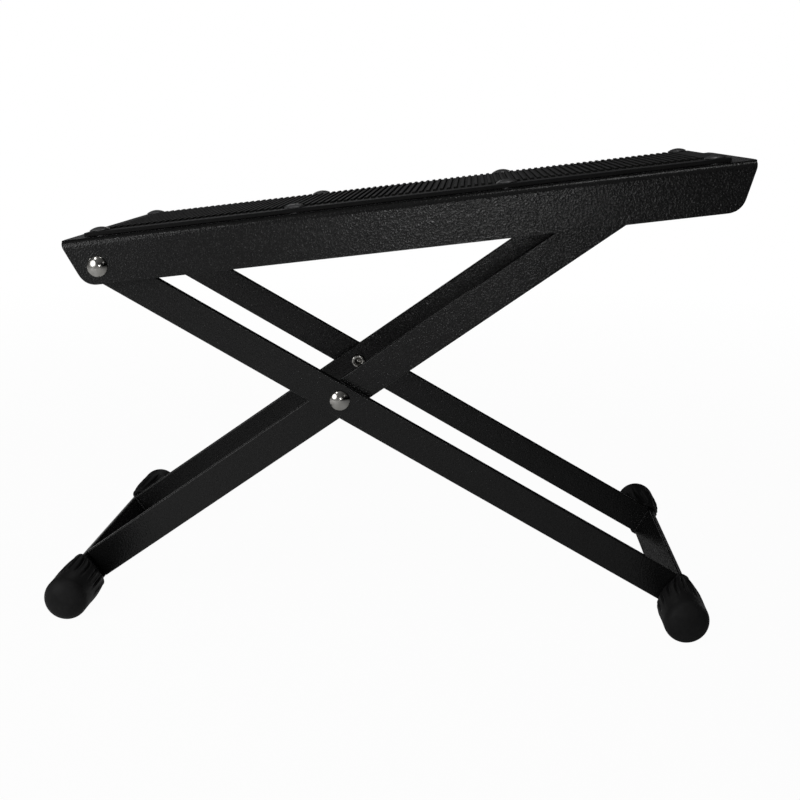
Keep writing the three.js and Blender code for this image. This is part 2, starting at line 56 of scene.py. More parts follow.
SIDES = (("right", -1), ("left", 1))

# Strip steel. The faces of the legs are distances from the middle plane.
STRIP_WIDTH = 13.8
STRIP_THICKNESS = 3.0
STRIP_EDGE = 0.6
LEG_GAP = 2.0
SEAT_GAP = 0.3
OUTER_FACE = 47.0
OUTER_INSIDE = OUTER_FACE - STRIP_THICKNESS
INNER_FACE = OUTER_INSIDE - LEG_GAP
INNER_INSIDE = INNER_FACE - STRIP_THICKNESS
OUTER_UPPER_REACH = 113.2
OUTER_LOWER_REACH = 165.2
INNER_UPPER_REACH = 143.8
INNER_LOWER_REACH = 137.3
LEG_END_STEPS = 20

# Weld beads
WELD_RADIUS = 0.85
WELD_FLATNESS = 0.8
WELD_PITCH = 0.75
WELD_END_GAP = 1.2
WELD_OFF_BAR = 0.05
WELD_OFF_LEG = 0.1
WELD_LEAST, WELD_MOST, WELD_SEED = 0.88, 1.08, 7
WELD_SPHERE_LEVEL = 3

# Tray
TRAY_LENGTH = 280.0
TRAY_WIDTH = 105.5
TRAY_DEPTH = 19.0
TRAY_SHEET = 1.5
TRAY_BEND = 3.0
TRAY_BEND_STEPS = 12
TRAY_END_SLANT = math.radians(22.4)
TRAY_CORNER = 5.5
TRAY_CORNER_STEPS = 10
TRAY_EDGE = 0.35
TRAY_EDGE_STEPS = 3
TRAY_SHARP_EDGE = math.radians(50)
HINGE_INSET = 14.2
HINGE_DROP = 11.7
# Rows of the tray's sheet: below its bend, and inwards from its bend across the plate
ROWS_BELOW_BEND = (2.5, 1.6, 0.8)
ROWS_FROM_BEND = (0.7, 1.4, 2.2, 3.0, 4.0, 5.0, 6.2, 7.6, 9.0)
# Where plate and skirt meet at the ends: how much is filed off, and, across and down from
# there, where that starts to fade and over what distance
TRAY_FILED = 0.8
FILED_ACROSS, FILED_ACROSS_FADE = 1.5, 11.0
FILED_DOWN, FILED_DOWN_FADE = 0.4, 3.4

# Mat
MAT_INSET = 10.0
MAT_WIDTH = 99.5
MAT_THICKNESS = 1.7
MAT_CORNER = 0.9
MAT_CORNER_STEPS = 6
MAT_EDGE = 0.3
MAT_SIDE_BORDER = 8.0
MAT_END_BORDER = 8.0
RIB_PITCH = 2.8
RIB_WIDTH = 1.5
RIB_HEIGHT = 0.8
RIB_ROOT = 0.8
RIB_ROUNDING = 0.35
RIB_ROUNDING_STEPS = 3
RIB_OFF_RIVET = 1.4

# Rivets, washers and rod
MAT_RIVETS = 4
MAT_RIVET_END_INSET = 15.8
MAT_RIVET_SIDE_INSET = 7.2
MAT_RIVET_SPREAD = 1.5
MAT_RIVET = {"head": 8.4, "crown": 1.4, "shank": 4.0, "tail": 6.0, "tail_height": 0.9}
JOINT_RIVET = {"head": 8.6, "crown": 1.8, "shank": 5.0, "tail": 6.4,
               "hollow": 3.2, "hollow_depth": 1.7, "hollow_rise": 0.9}
SCISSOR_TAIL_HEIGHT = 1.2
HEAD_RIM = 0.25
HEAD_RIM_IN, HEAD_RIM_UP = 0.4 * HEAD_RIM, 0.5 * HEAD_RIM
HEAD_STEPS = 16
HOLLOW_TAPER = 0.35
HOLLOW_STEPS = 4
LIP_ROUNDING = 0.9
LIP_STEPS = 6
TAIL_ROUNDING = 0.6
TAIL_STEPS = 5
TURNED_FACETS = 48
WASHER_DIAMETER = 10.0
WASHER_EDGE = 0.15
ROD_DIAMETER = 6.0
ROD_SPIGOT = 4.5
ROD_EDGE = 0.3
ROD_FACETS = 40

# Foot caps
CAP_RADIUS = 9.2
CAP_WALL = 1.3
CAP_LENGTH = 38.0
CAP_STAND_OFF = 0.5
CAP_FLARE_END = 19.0
CAP_FLAT = 0.3
CAP_POCKET_GAP = 0.3
CAP_POCKET_MOUTH = 0.2
CAP_POCKET_DEPTH = 26.0
# How boxy the cap's mouth and its pocket are: an ellipse at 1, a box at 0
CAP_MOUTH_POWER = 0.62
CAP_POCKET_POWER = 0.3
# The dome at the closed end, and how full it is along and across
CAP_CROWN_DEPTH = 6.5
CAP_CROWN_START = CAP_LENGTH - CAP_CROWN_DEPTH
CAP_CROWN_ALONG, CAP_CROWN_ACROSS = 2.5, 1 / 2.2
# The mouth's rounded rim, and the thin bead behind it
CAP_RIM = 0.45
CAP_BEAD, CAP_BEAD_PLACE, CAP_BEAD_REACH = 0.25, 1.0, 0.7
# Grooves with a low ridge on both sides, and the power by which they fade at their ends
FLUTE_COUNT = 16
FLUTE_DEPTH = 0.85
FLUTE_START = 3.0
FLUTE_END = 24.0
FLUTE_FADE = 0.4
FLUTE_NARROWNESS = 4
RIDGE_HEIGHT, RIDGE_PLACE, RIDGE_REACH = 0.25, -0.1, 0.35
# Rows of points along the cap, and how many stand round each flute
CAP_MOUTH_ROWS = (0, 0.12, 0.27, 0.45, 0.8, 1.2, 1.6, 2.1)
CAP_FLARE_START = 2.7
CAP_FLARE_STEPS, CAP_BODY_STEPS, CAP_CROWN_STEPS = 24, 4, 16
FACETS_PER_FLUTE = 16

# Places of the three frames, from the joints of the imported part
joints = {joint["name"]: Vector(joint["pos_m"]) for joint in frame["joints"]}
SCISSOR, HINGE = joints["leg_fold"], joints["hinge_turn"]
rod_low, rod_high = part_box("height_rod")
ROD = (rod_low + rod_high) / 2
mat_axis = next(m for m in frame["record"]["mounts"] if m["name"] == "foot_rest_face")["axis"]
OUTER_TILT = math.atan2(HINGE.z - SCISSOR.z, SCISSOR.x - HINGE.x)
INNER_TILT = math.atan2(ROD.z - SCISSOR.z, ROD.x - SCISSOR.x)
TRAY_TILT = math.atan2(-mat_axis[0], mat_axis[2])


def place_at(point, turn=0.0):
    """From a part's own frame in millimetres, turned about Y, to the object's in metres."""
    return Matrix.Translation(point) @ Matrix.Rotation(turn, 4, "Y") @ Matrix.Scale(MM, 4)


OUTER = place_at(SCISSOR, OUTER_TILT)
INNER = place_at(SCISSOR, -INNER_TILT)
TRAY = place_at(HINGE, -TRAY_TILT)


# Nodes

# Sockets that share a name with others of their node, and so are asked for by number
MIX_DARK, MIX_LIGHT, MIX_COLOR = 6, 7, 2
RANDOM_LEAST, RANDOM_MOST, RANDOM_NUMBER = 2, 3, 1


class Signal:
    """A number in a material. Arithmetic on it adds Math nodes."""

    def __init__(self, nodes, socket):
        self.nodes, self.socket = nodes, socket

    def _math(self, operation, other):
        return self.nodes.signal("ShaderNodeMath", 0, {"operation": operation}, {0: self, 1: other})

    def __add__(self, other):
        return self._math("ADD", other)

    def __mul__(self, other):
        return self._math("MULTIPLY", other)

    __radd__ = __add__
    __rmul__ = __mul__


class Nodes:
    """The nodes of a material, of the world or of a shape that repeats."""

    def __init__(self, tree):
        self.tree = tree
        tree.nodes.clear()

    def node(self, kind, settings=None, values=None):
        """A node with its settings, and then the values or links of its sockets."""
        made = self.tree.nodes.new(kind)
        for name, value in (settings or {}).items():
            setattr(made, name, value)
        for key, value in (values or {}).items():
            if isinstance(value, Signal):
                value = value.socket
            if isinstance(value, bpy.types.NodeSocket):
                self.tree.links.new(value, made.inputs[key])
            else:
                made.inputs[key].default_value = value
        return made

    def signal(self, kind, output, settings=None, values=None):
        return Signal(self, self.node(kind, settings, values).outputs[output])


# Materials

# Where most values of a noise lie
NOISE_BODY = (0.3, 0.7)
# Powder coat: its cells, pits and clouds in millimetres across, how high it stands and how
# much of that is its pits, its roughness, and its shades, the last a pale painted sheen on its flat top
PEEL_CELL, PEEL_PIT, COAT_CLOUD = 0.74, 0.35, 18.0
PEEL_HEIGHT, PIT_SHARE = 0.1, 0.15
COAT_ROUGHNESS, PEEL_POLISH, CLOUD_ROUGHNESS = 0.31, 0.2, 0.03
COAT_DARK, COAT_PALE, COAT_PAINTED_SHEEN = 0.0055, 0.0105, 0.32
# The upward share of a normal at which the painted sheen on the flat top starts, and is full
SHEEN_STARTS, SHEEN_FULL = 0.9885, 0.991
# Rubber: its pores and patches of dust in millimetres across, and its pores' depth
RUBBER_PORE, RUBBER_PATCH, PORE_DEPTH = 0.35, 7.0, 0.08
# Metal: the haze and specks of plating and the rubbed patches of lacquer, across and high
PLATING_HAZE, PLATING_SPECK, SPECK_HEIGHT = 2.2, 0.4, 0.02
LACQUER_RUB, RUB_HEIGHT = 1.6, 0.08


def new_material(name):
    """A material, its nodes, and the place on a piece that its patterns read."""
    material = bpy.data.materials.new(name)
    material.use_nodes = True
    look = Nodes(material.node_tree)
    return material, look, look.node("ShaderNodeTexCoord").outputs["Object"]


def grain(look, place, size, detail=2.0, roughness=0.5):
    """Noise whose blobs are about size millimetres across."""
    return look.signal("ShaderNodeTexNoise", "Fac", {}, {
        "Vector": place, "Scale": 1 / (size * MM), "Detail": detail, "Roughness": roughness})


def span(look, value, low, high, to_low=0.0, to_high=1.0):
    """A signal's range from low to high, stretched and held to another range."""
    return look.signal("ShaderNodeMapRange", "Result", {"clamp": True}, {
        "Value": value, "From Min": low, "From Max": high, "To Min": to_low, "To Max": to_high})


def split(look, vector):
    """A vector's X, Y and Z as signals."""
    parts = look.node("ShaderNodeSeparateXYZ", {}, {0: vector}).outputs
    return [Signal(look, parts[axis]) for axis in "XYZ"]


def facing_up(look, low, high, most):
    """From 0 to most, as the upward share of a surface's normal goes from low to high."""
    upward = split(look, look.node("ShaderNodeNewGeometry").outputs["Normal"])[2]
    return span(look, upward, low, high, 0.0, most)


def tone(shade):
    """A grey with a trace of blue."""
    return shade, shade, shade * 1.02, 1.0


def blend_tones(look, factor, dark, light):
    """A colour from dark to light as a factor goes from 0 to 1."""
    mix = look.node("ShaderNodeMix", {"data_type": "RGBA"}, {
        "Factor": factor, MIX_DARK: dark, MIX_LIGHT: light})
    return mix.outputs[MIX_COLOR]


def bump(look, height, strength, distance):
    """A normal tilted by a height, which is worth a distance in millimetres."""
    return look.node("ShaderNodeBump", {}, {
        "Strength": strength, "Distance": distance * MM, "Height": height}).outputs[0]


def finish_surface(look, values):
    """Ends a material in one shader with these values and links."""
    shader = look.node("ShaderNodeBsdfPrincipled", {}, values)
    look.node("ShaderNodeOutputMaterial", {}, {"Surface": shader.outputs[0]})


def powder_coat(name, peel, dust_and_sheen=0.0):
    """Black powder coat: a fine leathery orange peel, and where it lies flat a paler tone, a painted sheen of the
    light it mirrors there.
    """
    material, look, place = new_material(name)
    cells = grain(look, place, PEEL_CELL, detail=1.0)
    pits = grain(look, place, PEEL_PIT, detail=0.0)
    clouds = grain(look, place, COAT_CLOUD)
    height = span(look, cells, 0.2, 0.8) * (1 - PIT_SHARE) + pits * PIT_SHARE
    polished = COAT_ROUGHNESS - PEEL_POLISH * peel
    roughness = (span(look, cells, *NOISE_BODY, COAT_ROUGHNESS, polished)
                 + span(look, clouds, *NOISE_BODY, 0.0, CLOUD_ROUGHNESS))
    paint = blend_tones(look, span(look, cells, *NOISE_BODY), tone(COAT_DARK), tone(COAT_PALE))
    # Painted sheen: the flat top takes a paler tone, in clouds, for the light it would mirror
    painted_top_light = (facing_up(look, SHEEN_STARTS, SHEEN_FULL, dust_and_sheen)
               * span(look, clouds, 0.2, 0.6, 0.7, 1.0))
    finish_surface(look, {
        "Base Color": blend_tones(look, painted_top_light, paint, tone(COAT_PAINTED_SHEEN)),
        "Roughness": roughness, "Normal": bump(look, height, peel, PEEL_HEIGHT),
        "Specular IOR Level": 0.3})
    return material


def moulded_rubber(name, shade, roughness, painted_top_tone):
    """Black moulded rubber with a satin skin, and a paler tone where it lies flat, which is painted light from
    above.
    """
    material, look, place = new_material(name)
    pores = grain(look, place, RUBBER_PORE)
    dust_and_sheen = grain(look, place, RUBBER_PATCH, 3.0, 0.6)
    skin = blend_tones(look, span(look, dust_and_sheen, 0.35, 0.75), tone(shade), tone(shade * 1.5))
    # Painted light: upward faces take a paler tone, as if lit from above
    painted_top_light = facing_up(look, 0.7, 0.97, 0.6)
    finish_surface(look, {
        "Base Color": blend_tones(look, painted_top_light, skin, tone(painted_top_tone)),
        "Roughness": span(look, dust_and_sheen, *NOISE_BODY, roughness - 0.05, roughness + 0.08),
        "Normal": bump(look, pores, 0.25, PORE_DEPTH), "Specular IOR Level": 0.08})
    return material


def plating(name, shade, roughness):
    """Nickel or zinc plating with a fine yellowish haze and small dull spots."""
    material, look, place = new_material(name)
    haze = grain(look, place, PLATING_HAZE, 3.0, 0.6)
    specks = grain(look, place, PLATING_SPECK)
    clean = (shade, shade * 0.98, shade * 0.94, 1)
    hazy = (shade * 0.8, shade * 0.78, shade * 0.73, 1)
    finish_surface(look, {
        "Base Color": blend_tones(look, span(look, haze, *NOISE_BODY), clean, hazy),
        "Metallic": 1.0, "Normal": bump(look, specks, 0.1, SPECK_HEIGHT),
        "Roughness": span(look, haze, 0.3, 0.75, roughness, roughness + 0.14)})
    return material


def lacquered_rivet(name):
    """Black lacquered rivet heads, rubbed a little grey."""
    material, look, place = new_material(name)
    rub = grain(look, place, LACQUER_RUB, 3.0, 0.6)
    finish_surface(look, {
        "Base Color": blend_tones(look, span(look, rub, 0.35, 0.7), tone(0.09), tone(0.2)),
        "Metallic": span(look, rub, 0.4, 0.7, 0.2, 0.5),
        "Roughness": span(look, rub, *NOISE_BODY, 0.24, 0.36),
        "Normal": bump(look, rub, 0.3, RUB_HEIGHT)})
    return material


# The tray's flat top carries the painted sheen; the legs carry none
TRAY_PAINT = powder_coat("tray_powder_coat", peel=1.0, dust_and_sheen=0.8)
LEG_PAINT = powder_coat("leg_powder_coat", peel=0.95)
# Each rubber's last tone is painted light on its upward faces
MAT_RUBBER = moulded_rubber("mat_rubber", shade=0.008, roughness=0.62, painted_top_tone=0.12)
BORDER_RUBBER = moulded_rubber(
    "mat_border_rubber", shade=0.008, roughness=0.6, painted_top_tone=0.12)
CAP_RUBBER = moulded_rubber("cap_rubber", shade=0.015, roughness=0.48, painted_top_tone=0.019)
NICKEL = plating("nickel_plating", shade=0.46, roughness=0.1)
DULL_STEEL = plating("dull_zinc", shade=0.4, roughness=0.35)
RIVET_LACQUER = lacquered_rivet("rivet_lacquer")


# Piece making

# Points closer than this, in metres, are one point
MERGE_DISTANCE = 1e-7
# A profile's point closer to its axis than this, in millimetres, lies on it
ON_AXIS = 1e-6
# At a corner a point moves by at most its inset over this, however sharp the corner is
SHARPEST_CORNER = 0.3
# The angle in degrees between faces from which an edge shows, unless a piece says another
SHARP_EDGE = 35.0
EDGE_STEPS = 4


def in_scene(name, data):
    """A new object in the scene, at the origin."""
    made = bpy.data.objects.new(name, data)
    bpy.context.scene.collection.objects.link(made)
    return made


def mesh_after_modifiers(carrier):
    """The plain mesh that an object's modifiers make. The object itself is removed."""
    evaluated = carrier.evaluated_get(bpy.context.evaluated_depsgraph_get())
    mesh = bpy.data.meshes.new_from_object(evaluated)
    bpy.data.objects.remove(carrier)
    return mesh


def dress(name, mesh, body, material, node=None, sharp=SHARP_EDGE, weighted=True):
    """A finished piece from its mesh: shaded, painted and joined to its body."""
    mesh.shade_smooth()
    mesh.set_sharp_from_angle(angle=math.radians(sharp))
    mesh.materials.clear()
    mesh.materials.append(material)
    made = in_scene(name, mesh)
    if weighted:
        smooth = made.modifiers.new("flat faces stay flat", "WEIGHTED_NORMAL")
        smooth.keep_sharp = True
        smooth.weight = 100
    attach(made, body)
    if node:
        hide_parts(node)


def piece(name, points, faces, place, body, material, node, sharp=SHARP_EDGE, weighted=True):
    """A closed mesh of points in a part's own frame, which stands for a node of the part."""
    mesh = bpy.data.meshes.new(name)
    mesh.from_pydata([place @ Vector(p) for p in points], [], faces)
    closed = bmesh.new()
    closed.from_mesh(mesh)
    bmesh.ops.remove_doubles(closed, verts=closed.verts, dist=MERGE_DISTANCE)
    bmesh.ops.recalc_face_normals(closed, faces=closed.faces)
    closed.to_mesh(mesh)
    closed.free()
    dress(name, mesh, body, material, node, sharp, weighted)


def quarter(steps):
    """Angles from 0 to a right angle."""
    return [RIGHT_ANGLE * i / steps for i in range(steps + 1)]


def arc(centre, radius, start, end, steps):
    """Points on a part of a circle, with both of its ends."""
    return [(centre[0] + radius * math.cos(start + (end - start) * i / steps),
             centre[1] + radius * math.sin(start + (end - start) * i / steps))
            for i in range(steps + 1)]


def circle(radius, y, facets):
    """Points round the Y axis, all at the same place along it."""
    angles = [FULL_TURN * k / facets for k in range(facets)]
    return [(radius * math.cos(angle), y, radius * math.sin(angle)) for angle in angles]


def ring_faces(rings, count, closed=False):
    """Faces between rings of count points, from each ring to the next, and from the last to
    the first where they close."""
    faces, total = [], rings * count
    for ring in range(rings if closed else rings - 1):
        for k in range(count):
            a, b = ring * count + k, ring * count + (k + 1) % count
            faces.append((a, b, (b + count) % total, (a + count) % total))
    return faces


def inset_outline(outline, distance):
    """A convex outline moved inwards by a distance, corner by corner."""
    count, moved = len(outline), []
    for i in range(count):
        before, here, after = (Vector(outline[(i + k) % count]) for k in (-1, 0, 1))
        along_in, along_out = (here - before).normalized(), (after - here).normalized()
        across_in = Vector((-along_in.y, along_in.x))
        inward = across_in + Vector((-along_out.y, along_out.x))
        inward.normalize()
        moved.append(here + inward * (distance / max(SHARPEST_CORNER, inward.dot(across_in))))
    return moved


def rounded_plate(outline, thickness, edge):
    """Points (u, v, w) and faces of a plate with an anticlockwise outline in u and v, from
    w = 0 to its thickness, with both rims rounded."""
    rims = [(edge * (1 - math.sin(turn)), edge * (1 - math.cos(turn)))
            for turn in quarter(EDGE_STEPS)]
    rims += [(inset, thickness - w) for inset, w in reversed(rims)]
    count, points = len(outline), []
    for inset, w in rims:
        points += [(p.x, p.y, w) for p in inset_outline(outline, inset)]
    faces = ring_faces(len(rims), count)
    faces.append(tuple(range(count))[::-1])
    faces.append(tuple(range(len(points) - count, len(points))))
    return points, faces


def turned(profile, facets=TURNED_FACETS):
    """A solid of revolution about its own Y axis, from (radius, y) points that start and end
    on the axis."""
    points, faces, rows = [], [], []
    for radius, y in profile:
        row = [(0, y, 0)] if radius < ON_AXIS else circle(radius, y, facets)
        rows.append(list(range(len(points), len(points) + len(row))))
        points += row
    for low, high in zip(rows, rows[1:]):
        for k in range(facets):
            n = (k + 1) % facets
            if len(low) == 1:
                faces.append((low[0], high[k], high[n]))
            elif len(high) == 1:
                faces.append((low[k], high[0], low[n]))
            else:
                faces.append((low[k], high[k], high[n], low[n]))
    return points, faces


# Leg frames


def leg(name, upper, lower, foot, y_low, place, body):
    """A flat strip with a round upper end and a square end at its foot, which points along
    +X where foot is 1 and along -X where it is -1."""
    half = STRIP_WIDTH / 2
    square_end = lower - STRIP_THICKNESS / 2 - SEAT_GAP
    outline = [(square_end, -half), (square_end, half)]
    outline += arc((-upper, 0), half, RIGHT_ANGLE, 3 * RIGHT_ANGLE, LEG_END_STEPS)
    outline = [(foot * x, foot * z) for x, z in outline]
    points, faces = rounded_plate(outline, STRIP_THICKNESS, STRIP_EDGE)
    points = [(u, y_low + w, v) for u, v, w in points]
    piece(f"{name}_strip", points, faces, place, body, LEG_PAINT, name)


def foot_bar(name, x, place, body):
    """A flat strip across two legs, which reaches into the caps at both ends."""
    half_length = OUTER_FACE + CAP_STAND_OFF + CAP_POCKET_DEPTH - SEAT_GAP
    half = STRIP_WIDTH / 2
    outline = ((-half_length, -half), (half_length, -half), (half_length, half),
               (-half_length, half))
    points, faces = rounded_plate(outline, STRIP_THICKNESS, STRIP_EDGE)
    points = [(x - STRIP_THICKNESS / 2 + w, u, v) for u, v, w in points]
    piece(f"{name}_strip", points, faces, place, body, LEG_PAINT, name)


for side, sign in SIDES:
    leg(f"outer_leg_{side}", OUTER_UPPER_REACH, OUTER_LOWER_REACH, 1,
        min(sign * OUTER_FACE, sign * OUTER_INSIDE), OUTER, "outer_frame")
    leg(f"inner_leg_{side}", INNER_UPPER_REACH, INNER_LOWER_REACH, -1,
        min(sign * INNER_FACE, sign * INNER_INSIDE), INNER, "inner_frame")

foot_bar("outer_foot_bar", OUTER_LOWER_REACH, OUTER, "outer_frame")
foot_bar("inner_foot_bar", -INNER_LOWER_REACH, INNER, "inner_frame")


# Shapes that repeat


def geometry_tree(name, sizes):
    """A tree of Geometry Nodes with named inputs for its sizes and its material: its nodes,
    its inputs, and each input's identifier by its name."""
    tree = bpy.data.node_groups.new(name, "GeometryNodeTree")
    for way in ("INPUT", "OUTPUT"):
        tree.interface.new_socket(name="Geometry", in_out=way, socket_type="NodeSocketGeometry")
    kinds = {**dict.fromkeys(sizes, "NodeSocketFloat"), "Material": "NodeSocketMaterial"}
    identifiers = {
        label: tree.interface.new_socket(name=label, in_out="INPUT", socket_type=kind).identifier
        for label, kind in kinds.items()}
    shape = Nodes(tree)
    return shape, shape.node("NodeGroupInput").outputs, identifiers


def copies_on_points(shape, inputs, one, size):
    """Ends a tree in real copies of one shape on the base mesh's points, in its material."""
    copies = shape.node("GeometryNodeInstanceOnPoints", {}, {
        "Points": inputs["Geometry"], "Instance": one.outputs[0], "Scale": size.outputs[0]})
    solid = shape.node("GeometryNodeRealizeInstances", {}, {"Geometry": copies.outputs[0]})
    painted = shape.node("GeometryNodeSetMaterial", {}, {
        "Geometry": solid.outputs[0], "Material": inputs["Material"]})
    shape.node("NodeGroupOutput", {}, {0: painted.outputs[0]})


def grown_mesh(name, shape, identifiers, base, values, place):
    """The plain mesh, placed, that a tree makes on a base mesh with these values."""
    carrier = in_scene(name, base)
    modifier = carrier.modifiers.new(name, "NODES")
    modifier.node_group = shape.tree
    for label, value in values.items():
        modifier[identifiers[label]] = value
    mesh = mesh_after_modifiers(carrier)
    mesh.transform(place @ Matrix.Scale(1 / MM, 4))
    return mesh


# Weld beads: a row of overlapping ripples up the inside corner of each leg and foot bar


def weld_tree():
    """Round ripples on points, a little uneven in size and flattened along the row."""
    shape, inputs, identifiers = geometry_tree("weld_ripples", ("Bead Radius", "Ripple Length"))
    ripple = shape.node("GeometryNodeMeshIcoSphere", {}, {
        "Radius": inputs["Bead Radius"], "Subdivisions": WELD_SPHERE_LEVEL})
    size = shape.node("ShaderNodeCombineXYZ", {}, {
        "X": 1.0, "Y": 1.0, "Z": inputs["Ripple Length"]})
    wobble = shape.node("FunctionNodeRandomValue", {"data_type": "FLOAT"}, {
        RANDOM_LEAST: WELD_LEAST, RANDOM_MOST: WELD_MOST, "Seed": WELD_SEED})
    scaled = shape.node("ShaderNodeVectorMath", {"operation": "SCALE"}, {
        0: size.outputs[0], "Scale": wobble.outputs[RANDOM_NUMBER]})
    copies_on_points(shape, inputs, ripple, scaled)
    return shape, identifiers


WELD_RIPPLES = weld_tree()


def weld_beads(name, x, leg_inside, towards_legs, place, body):
    """The two rows of ripples that join a foot bar to its legs."""
    root = x + towards_legs * (STRIP_THICKNESS / 2 + WELD_OFF_BAR)
    beside_leg = leg_inside - SEAT_GAP - WELD_OFF_LEG
    half = STRIP_WIDTH / 2 - WELD_END_GAP
    count = int(2 * half / WELD_PITCH) + 1
    points = [(root * MM, sign * beside_leg * MM, (-half + 2 * half * i / (count - 1)) * MM)
              for _, sign in SIDES for i in range(count)]
    base = bpy.data.meshes.new(name)
    base.from_pydata(points, [], [])
    mesh = grown_mesh(name, *WELD_RIPPLES, base, {
        "Bead Radius": WELD_RADIUS * MM, "Ripple Length": WELD_FLATNESS,
        "Material": LEG_PAINT}, place)
    dress(name, mesh, body, LEG_PAINT, sharp=60.0, weighted=False)


weld_beads("outer_foot_welds", OUTER_LOWER_REACH, OUTER_INSIDE, -1, OUTER, "outer_frame")
weld_beads("inner_foot_welds", -INNER_LOWER_REACH, INNER_INSIDE, 1, INNER, "inner_frame")


# Tray


def skirt_silhouette():
    """From the top of the tray down to the end of a skirt's round lower corner: how far the
    end has drawn in, and the height."""
    bottom, top = HINGE_DROP - TRAY_DEPTH, HINGE_DROP
    corner = Vector((TRAY_DEPTH * math.tan(TRAY_END_SLANT), bottom))
    upper = corner + (Vector((0, top)) - corner).normalized() * TRAY_CORNER
    lower = corner + Vector((TRAY_CORNER, 0))
    curve = []
    for i in range(TRAY_CORNER_STEPS + 1):
        t = i / TRAY_CORNER_STEPS
        curve.append(upper * (1 - t) ** 2 + corner * 2 * t * (1 - t) + lower * t * t)
    return [(p.x, p.y) for p in curve]


def tray_sheet():
    """The channel's outer surface as strips along the tray, given its thickness afterwards.
    Where plate and skirt meet at the ends, the corner is filed round."""
    top, half = HINGE_DROP, TRAY_WIDTH / 2
    bend_side, bend_top = half - TRAY_BEND, top - TRAY_BEND
    rows = [(half, bend_top - drop) for drop in ROWS_BELOW_BEND]
    rows += arc((bend_side, bend_top), TRAY_BEND, 0, RIGHT_ANGLE, TRAY_BEND_STEPS)
    rows += [(bend_side - run, top) for run in ROWS_FROM_BEND]
    one_side = [(half, z, inset) for inset, z in reversed(skirt_silhouette())]
    for y, z in rows:
        across = max(0.0, half - FILED_ACROSS - y) / FILED_ACROSS_FADE
        down = max(0.0, top - FILED_DOWN - z) / FILED_DOWN_FADE
        filed = TRAY_FILED * max(0.0, 1 - across) ** 2 * max(0.0, 1 - down) ** 2
        one_side.append((y, z, (top - z) * math.tan(TRAY_END_SLANT) + filed))
    other_side = [(-y, z, inset) for y, z, inset in reversed(one_side)]
    points = []
    for y, z, inset in one_side + other_side:
        points += [(-HINGE_INSET + inset, y, z), (TRAY_LENGTH - HINGE_INSET - inset, y, z)]
    faces = [(i, i + 2, i + 3, i + 1) for i in range(0, len(points) - 2, 2)]
    return points, faces


def make_tray():
    """The channel of folded sheet, with softly rounded edges."""
    points, faces = tray_sheet()
    mesh = bpy.data.meshes.new("tray_channel")
    mesh.from_pydata([TRAY @ Vector(p) for p in points], [], faces)
    carrier = in_scene("tray_channel", mesh)
    wall = carrier.modifiers.new("sheet", "SOLIDIFY")
    wall.thickness, wall.offset, wall.use_even_offset = TRAY_SHEET * MM, -1, True
    rim = carrier.modifiers.new("rim", "BEVEL")
    rim.width, rim.segments, rim.limit_method = TRAY_EDGE * MM, TRAY_EDGE_STEPS, "ANGLE"
    rim.angle_limit = TRAY_SHARP_EDGE
    dress("tray_channel", mesh_after_modifiers(carrier), "tray", TRAY_PAINT,
          "tray_pan")


make_tray()


# Mat


def mat_rivet_places():
    """Each mat rivet's end of its name and its place. The two middle ones of a row stand a
    little apart."""
    step = (TRAY_LENGTH - 2 * MAT_RIVET_END_INSET) / (MAT_RIVETS - 1)
    reach = TRAY_WIDTH / 2 - MAT_RIVET_SIDE_INSET
    spread = (0, -MAT_RIVET_SPREAD, MAT_RIVET_SPREAD, 0)
    return [(f"{side}_{i + 1}", -HINGE_INSET + MAT_RIVET_END_INSET + i * step + spread[i],
             sign * reach)
            for side, sign in SIDES for i in range(MAT_RIVETS)]


def rib_tree():
    """Ribs along Y on points, each as long as its point says."""
    shape, inputs, identifiers = geometry_tree("mat_ribs", (
        "Rib Width", "Rib Height", "Rib Rounding"))
    line = shape.node("GeometryNodeCurvePrimitiveLine", {}, {
        "Start": (0, -0.5, 0), "End": (0, 0.5, 0)})
    section = shape.node("GeometryNodeCurvePrimitiveQuadrilateral", {"mode": "RECTANGLE"}, {
        "Width": inputs["Rib Width"], "Height": inputs["Rib Height"]})
    rounded = shape.node("GeometryNodeFilletCurve", {"mode": "POLY"}, {
        "Curve": section.outputs[0], "Count": RIB_ROUNDING_STEPS,
        "Radius": inputs["Rib Rounding"]})
    rib = shape.node("GeometryNodeCurveToMesh", {}, {
        "Curve": line.outputs[0], "Profile Curve": rounded.outputs[0], "Fill Caps": True})
    reach = shape.node("GeometryNodeInputNamedAttribute", {"data_type": "FLOAT"}, {
        "Name": "rib_length"})
    size = shape.node("ShaderNodeCombineXYZ", {}, {"X": 1.0, "Y": reach.outputs[0], "Z": 1.0})
    copies_on_points(shape, inputs, rib, size)
    return shape, identifiers


def mat_outline(low, high):
    """The mat's outline with its four rounded corners, from the one at high x and low y."""
    half, corner = MAT_WIDTH / 2, MAT_CORNER
    centres = ((high - corner, -half + corner), (high - corner, half - corner),
               (low + corner, half - corner), (low + corner, -half + corner))
    return [point for turn, centre in enumerate(centres, -1) for point in arc(
        centre, corner, turn * RIGHT_ANGLE, (turn + 1) * RIGHT_ANGLE, MAT_CORNER_STEPS)]


